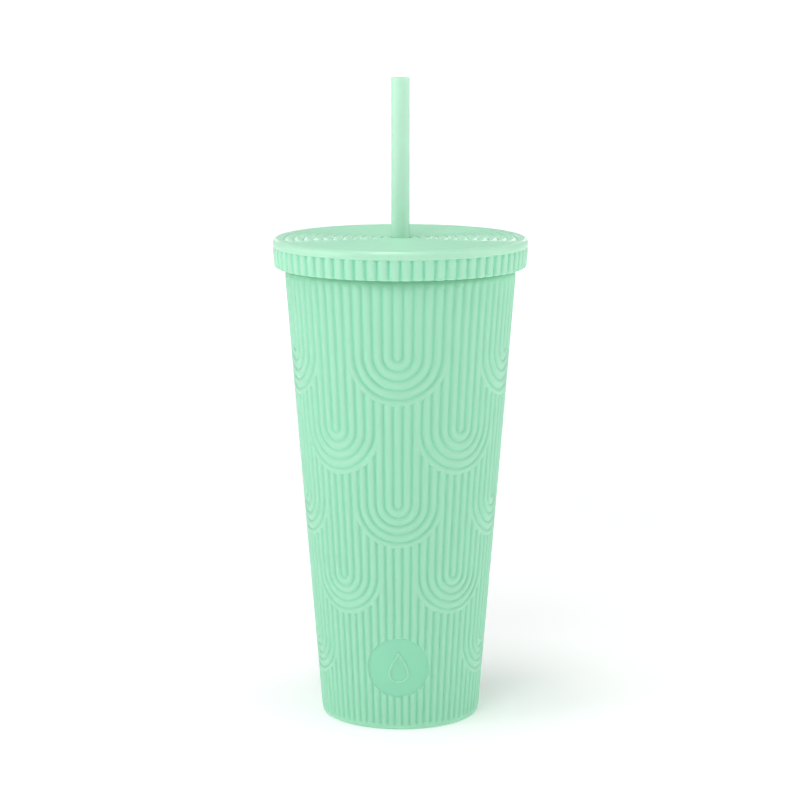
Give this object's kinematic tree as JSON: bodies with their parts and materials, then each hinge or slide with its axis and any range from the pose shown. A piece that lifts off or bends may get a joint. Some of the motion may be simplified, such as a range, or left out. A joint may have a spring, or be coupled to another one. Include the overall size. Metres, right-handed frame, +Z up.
{
  "type": "double-wall cold-drink tumbler",
  "caption": "Tapered double-wall plastic tumbler with ribbed shell and nested arch relief, a fluted screw lid with concentric rings, and a straight straw with a stop ring.",
  "frame": {"origin": "under the middle of the foot, on the surface the tumbler stands on", "axes": "+Z up along the tumbler's axis; -Y is the front, where the round badge field is; +X to the right seen from the front"},
  "size_m": [0.102, 0.102, 0.2582],
  "materials": {
    "shell_plastic": "satin matte mint green, moulded with vertical ribs and nested arches",
    "base_plastic": "satin matte mint green, smooth",
    "liner_plastic": "smooth pale mint, slightly glossier than the shell",
    "lid_plastic": "satin matte mint green, slightly paler than the shell",
    "inner_lid_plastic": "smooth mint green",
    "seal_silicone": "milky silicone",
    "straw_plastic": "soft gloss, pale mint and faintly translucent",
    "stop_ring_plastic": "smooth mint green"
  },
  "bodies": {
    "cup": {"outer_shell": "shell_plastic", "base_cap": "base_plastic", "inner_liner": "liner_plastic"},
    "seal": {"lid_seal": "seal_silicone"},
    "lid": {"lid_cover": "lid_plastic", "lid_inner": "inner_lid_plastic"},
    "straw": {"straw_tube": "straw_plastic", "straw_stop_ring": "stop_ring_plastic"}
  },
  "joints": [
    {"name": "lid_rise", "type": "slide", "parent": "cup", "child": "seal", "axis": [0, 0, 1], "range_m": [0, 0.024]},
    {"name": "lid_turn", "type": "hinge", "parent": "seal", "child": "lid", "pos_m": [0, 0, 0.188], "axis": [0, 0, 1], "range_deg": [0, 720]},
    {"name": "straw_slide", "type": "slide", "parent": "lid", "child": "straw", "axis": [0, 0, 1], "range_m": [0, 0.15]}
  ],
  "couplings": [
    {"joint": "lid_rise", "follows": "lid_turn", "m_per_rad": 0.0019099}
  ]
}
